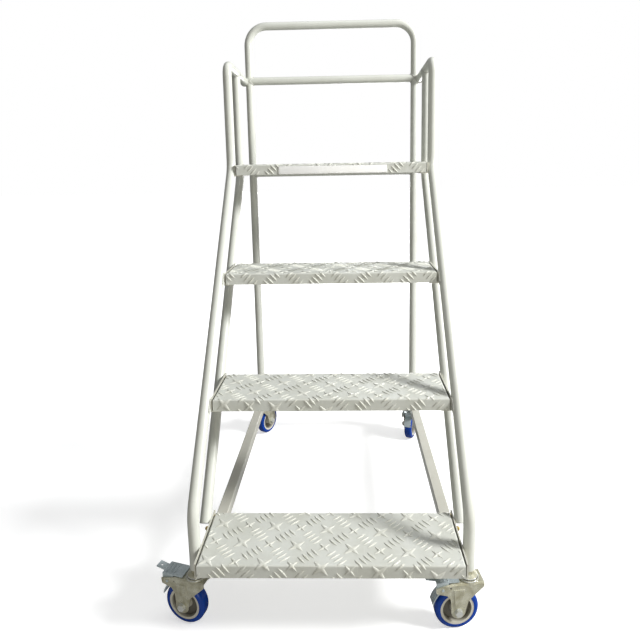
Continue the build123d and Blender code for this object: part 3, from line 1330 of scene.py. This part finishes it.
@dataclass
class SwivelHeads:
    """Rolled rings about each caster's race, with a dark ring of painted shade in the gap between
    them.
    """

    race_radius: float = 22.2 * MM
    race_z: float = 121.4 * MM
    cap_radius: float = 19.8 * MM
    cap_z: float = 125.8 * MM
    ring_wall: float = 1.3 * MM
    # A dark ring between the race and the cap paints the shade in that gap.
    gap_shade_radius: float = 20.4 * MM
    gap_shade_z: float = 123.15 * MM
    gap_shade_wall: float = 0.9 * MM
    flatten: float = 0.8
    ring_steps: int = 56
    ring_sides: int = 10
    smooth_to: float = 60.0

    def _ring(self, name: str, radius: float, height: float, wall: float) -> Piece:
        """Model a flattened ring about the upright axis.

        Args:
            name: Name of the ring.
            radius: Radius of the ring's middle line.
            height: Height of the ring's middle line.
            wall: Half of the ring's width.

        Returns:
            The ring.
        """
        deselect_all()
        bpy.ops.mesh.primitive_torus_add(
            major_segments=self.ring_steps,
            minor_segments=self.ring_sides,
            major_radius=radius,
            minor_radius=wall,
        )
        ring = bpy.context.object
        ring.name = name
        with edit_mode(ring):
            bpy.ops.transform.resize(value=(1.0, 1.0, self.flatten))
        settle(ring, Matrix.Translation((0, 0, height)))
        smooth(ring, self.smooth_to)
        return ring

    def build(self, bright: bpy.types.Material, dark: bpy.types.Material) -> None:
        """Put the rings on the four casters.

        Args:
            bright: Material of the plated rings.
            dark: Material of the dark ring painted into the gap as shade.
        """
        race = self._ring("race_ring", self.race_radius, self.race_z, self.ring_wall)
        # The dark ring is painted shade for the gap between race and cap.
        gap_shade = self._ring("race_gap_shade", self.gap_shade_radius, self.gap_shade_z, self.gap_shade_wall)
        cap = self._ring("cap_ring", self.cap_radius, self.cap_z, self.ring_wall)
        places = {joint["name"]: joint["pos_m"] for joint in frame["joints"]}
        for corner in CORNERS:
            x, y, _ = places[f"swivel_{corner}"]
            for ring, material, body in (
                (race, bright, f"caster_{corner}"),
                (gap_shade, dark, f"caster_{corner}"),
                (cap, bright, "root"),
            ):
                piece = copy_of(ring, Matrix.Translation((x, y, 0)))
                piece.name = f"{ring.name}_{corner}"
                dress(piece, material, body)
        remove(race, gap_shade, cap)


@dataclass
class LabelPlate:
    """Blank label plate on the platform's front lip."""

    width: float = 328.0 * MM
    height: float = 24.0 * MM
    thickness: float = 2.8 * MM
    corner: float = 2.5 * MM
    corner_steps: int = 6
    edge: float = 0.3 * MM
    middle_x: float = 5.5 * MM
    middle_z: float = 1023.0 * MM
    smooth_to: float = 30.0

    def build(self, finish: bpy.types.Material) -> None:
        """Model the plate and set it on the lip, over the relief.

        Args:
            finish: Material of the label.
        """
        low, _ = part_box("platform")
        deselect_all()
        bpy.ops.mesh.primitive_cube_add(size=1.0)
        plate = bpy.context.object
        plate.name = "label_plate"
        with edit_mode(plate):
            bpy.ops.transform.resize(value=(self.width, self.thickness, self.height))
            bpy.ops.mesh.select_all(action="DESELECT")
        for edge in plate.data.edges:
            a, b = (plate.data.vertices[i].co for i in edge.vertices)
            edge.select = abs(a.x - b.x) < TINY and abs(a.z - b.z) < TINY
        with edit_mode(plate, whole=False):
            bpy.ops.mesh.bevel(offset=self.corner, segments=self.corner_steps, affect="EDGES")
        bevel_all(plate, self.edge)
        y = low.y - self.thickness / 2
        settle(plate, Matrix.Translation((self.middle_x, y, self.middle_z)))
        smooth(plate, self.smooth_to)
        dress(plate, finish, "root")


@dataclass
class FrameFinishes:
    """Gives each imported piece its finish."""

    effects: SharedEffects
    boss_radius: float = 13.6 * MM
    rim_wall: float = 5.2 * MM

    def _give(self, names: list[str], finish: Finish, recess_shade: RecessShade | None = None) -> None:
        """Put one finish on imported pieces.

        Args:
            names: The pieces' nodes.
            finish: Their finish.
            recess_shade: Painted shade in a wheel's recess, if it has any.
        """
        material = finish.material(self.effects, recess_shade)
        for name in names:
            node = frame["nodes"][name]
            node.data.materials.clear()
            node.data.materials.append(material)
            log.info("%s: %s", name, material.name)

    def _recess(self, corner: str) -> RecessShade:
        """Find the recess between a hub's boss and its rim.

        Args:
            corner: Corner of the ladder.

        Returns:
            The shade painted into it.
        """
        roll = next(joint for joint in frame["joints"] if joint["name"] == f"roll_{corner}")
        low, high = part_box(f"hub_{corner}")
        outer = (high.z - low.z) / 2 - self.rim_wall
        return RecessShade(tuple(roll["pos_m"]), tuple(roll["axis"]), self.boss_radius, outer)

    @staticmethod
    def _at_corners(*pieces: str) -> list[str]:
        """Name the nodes of caster pieces at all four corners."""
        return [f"{piece}_{corner}" for piece in pieces for corner in CORNERS]

    def build(self) -> None:
        """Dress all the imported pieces."""
        stringers = [f"{end}_stringer_{side}" for end in ("front", "rear") for side, _ in SIDES]
        rails = ["base_rail_left", "base_rail_right", "rear_rail"]
        angles = [f"{name}_angles" for name in TREADS]
        self._give(["rear_arch", "crossbar", "platform_bar", *stringers], TUBE_COAT)
        self._give(list(TREADS), PLATE_COAT)
        self._give(rails + angles, RAIL_COAT)
        self._give(self._at_corners("fork", "stem"), FORK_ZINC)
        self._give(self._at_corners("axle"), BOLT_ZINC)
        self._give(self._at_corners("pedal", "brake"), PEDAL_ZINC)
        self._give(self._at_corners("tyre"), TYRE_BLUE)
        for corner in CORNERS:
            # Each hub gets painted shade in the recess between its boss and its rim.
            self._give([f"hub_{corner}"], HUB_PLASTIC, self._recess(corner))


@dataclass(frozen=True)
class Lamp:
    """One square soft lamp that faces the ladder's middle."""

    name: str
    place: Triple
    size: float
    power: float
    colour: Triple = (1.0, 1.0, 1.0)

    def build(self, aim: Vector) -> None:
        """Add the lamp.

        Args:
            aim: The point that it faces.
        """
        deselect_all()
        bpy.ops.object.light_add(type="AREA", location=self.place)
        lamp = bpy.context.object
        lamp.name = self.name
        lamp.data.shape = "SQUARE"
        lamp.data.size = self.size
        lamp.data.energy = self.power
        lamp.data.color = self.colour
        toward = aim - Vector(self.place)
        lamp.rotation_euler = toward.to_track_quat("-Z", "Y").to_euler()


LAMPS = (
    Lamp("key_right", (3.5, -1.1, 2.8), 1.0, 250.0),
    Lamp("fill_front", (0.5, -3.4, 0.7), 1.6, 24.0, (1.0, 0.95, 0.82)),
    Lamp("top_soft", (0.2, 0.1, 3.8), 2.0, 24.0, (0.93, 0.96, 1.0)),
    Lamp("back_right", (2.6, 3.2, 1.3), 1.6, 30.0),
    Lamp("back_low", (0.4, 3.8, 0.6), 1.0, 34.0),
)


@dataclass
class Studio:
    """Pale floor, soft lights and the camera."""

    frame_px: int = 640
    focal_px: float = 554.6
    centre_px: tuple[float, float] = (331.34, 253.84)
    sensor_mm: float = 36.0
    eye: Triple = (42.0 * MM, -1574.7 * MM, 1038.4 * MM)
    pitch: float = 0.1601
    yaw: float = -0.0266
    roll: float = -0.0171
    aim: Triple = (0.0, 0.0, 0.7)
    world_strength: float = 0.15
    mirrored_strength: float = 0.32
    floor_size: float = 40.0
    floor_colour: float = 0.84
    floor_bounce: float = 0.4
    floor_glow: tuple[float, float] = (0.55, 1.0)
    floor_fade: tuple[float, float] = (0.9, 2.2)

    def _camera(self) -> None:
        """Place the camera at the viewing angle of the reference picture."""
        deselect_all()
        bpy.ops.object.camera_add(location=self.eye)
        camera = bpy.context.object
        camera.name = "camera"
        camera.data.sensor_width = self.sensor_mm
        camera.data.lens = self.focal_px * self.sensor_mm / self.frame_px
        camera.data.shift_x = (self.frame_px / 2 - self.centre_px[0]) / self.frame_px
        camera.data.shift_y = (self.centre_px[1] - self.frame_px / 2) / self.frame_px
        # The view was fitted with a picture's axes: right, down and into the picture.
        look = Matrix(((1, 0, 0), (0, 0, -1), (0, 1, 0)))
        turn = Matrix.Rotation(self.yaw, 3, "Z")
        tilt = Matrix.Rotation(self.pitch, 3, "X")
        roll = Matrix.Rotation(self.roll, 3, "Z")
        view = roll @ tilt @ look @ turn
        # A camera's own axes point right, up and out of the picture.
        flip = Matrix(((1, 0, 0), (0, -1, 0), (0, 0, -1)))
        camera.matrix_world = Matrix.Translation(self.eye) @ (flip @ view).transposed().to_4x4()
        bpy.context.scene.camera = camera

    def _world(self) -> None:
        """Light the room evenly, and show it white to the camera and in reflections."""
        world = bpy.data.worlds.new("studio")
        bpy.context.scene.world = world
        world.use_nodes = True
        world.node_tree.nodes.clear()
        sheet = NodeSheet(world.node_tree)
        rays = sheet.add("ShaderNodeLightPath").outputs
        shader: Socket | None = None
        # Each kind of ray takes its own strength in place of the one before it.
        for ray, strength in (
            (None, self.world_strength),
            ("Is Glossy Ray", self.mirrored_strength),
            ("Is Transmission Ray", 1.0),
            ("Is Camera Ray", 1.0),
        ):
            shown = sheet.add(
                "ShaderNodeBackground", Color=(1.0, 1.0, 1.0, 1.0), Strength=strength
            ).outputs[0]
            if ray is not None:
                shown = sheet.add("ShaderNodeMixShader", rays[ray], shader, shown).outputs[0]
            shader = shown
        sheet.add("ShaderNodeOutputWorld", Surface=shader)

    def _floor(self) -> None:
        """Lay a pale floor that keeps the ladder's shadow."""
        deselect_all()
        bpy.ops.mesh.primitive_plane_add(size=self.floor_size)
        floor = bpy.context.object
        floor.name = "floor"
        material = bpy.data.materials.new("floor_white")
        material.use_nodes = True
        material.node_tree.nodes.clear()
        sheet = NodeSheet(material.node_tree)
        seen = sheet.add("ShaderNodeLightPath").outputs["Is Camera Ray"]
        bounced, shown = (
            (grey, grey, grey, 1.0) for grey in (self.floor_bounce, self.floor_colour)
        )
        matt = sheet.add("ShaderNodeBsdfDiffuse", Color=sheet.mix(seen, bounced, shown))
        distance = sheet.add("ShaderNodeVectorMath", sheet.place(), operation="LENGTH")
        fade = sheet.add(
            "ShaderNodeMapRange",
            interpolation_type="SMOOTHSTEP",
            Value=distance.outputs["Value"],
            From_Min=self.floor_fade[0],
            From_Max=self.floor_fade[1],
            To_Min=self.floor_glow[0],
            To_Max=self.floor_glow[1],
        )
        # Only the camera sees the glow, so it lights nothing.
        strength = sheet.maths("MULTIPLY", seen, fade.outputs["Result"])
        glow = sheet.add("ShaderNodeEmission", Color=(1.0, 1.0, 1.0, 1.0), Strength=strength)
        both = sheet.add("ShaderNodeAddShader", matt.outputs[0], glow.outputs[0])
        sheet.add("ShaderNodeOutputMaterial", Surface=both.outputs[0])
        floor.data.materials.append(material)

    def build(self) -> None:
        """Set up the studio."""
        bpy.context.scene.view_settings.view_transform = "Standard"
        self._world()
        self._floor()
        for lamp in LAMPS:
            lamp.build(Vector(self.aim))
        self._camera()
        log.info("studio: floor, %d lamps and camera", len(LAMPS))


def main() -> None:
    """Build every piece in order."""
    logging.basicConfig(level=logging.INFO, format="%(name)s: %(message)s")
    effects = SharedEffects()
    tubes = TubeFrame()
    FrameFinishes(effects).build()
    CheckerRelief().build(RELIEF_COAT.material(effects))
    Welds(tubes).build(WELD_COAT.material(effects))
    Fasteners(tubes).build(YELLOW_ZINC.material(effects))
    # The swivel heads get a dark ring of painted shade in the gap between race and cap.
    SwivelHeads().build(BOLT_ZINC.material(effects), GAP_SHADE_DARK.material(effects))
    LabelPlate().build(LABEL_VINYL.material(effects))
    Studio().build()


if __name__ == "__main__":
    main()
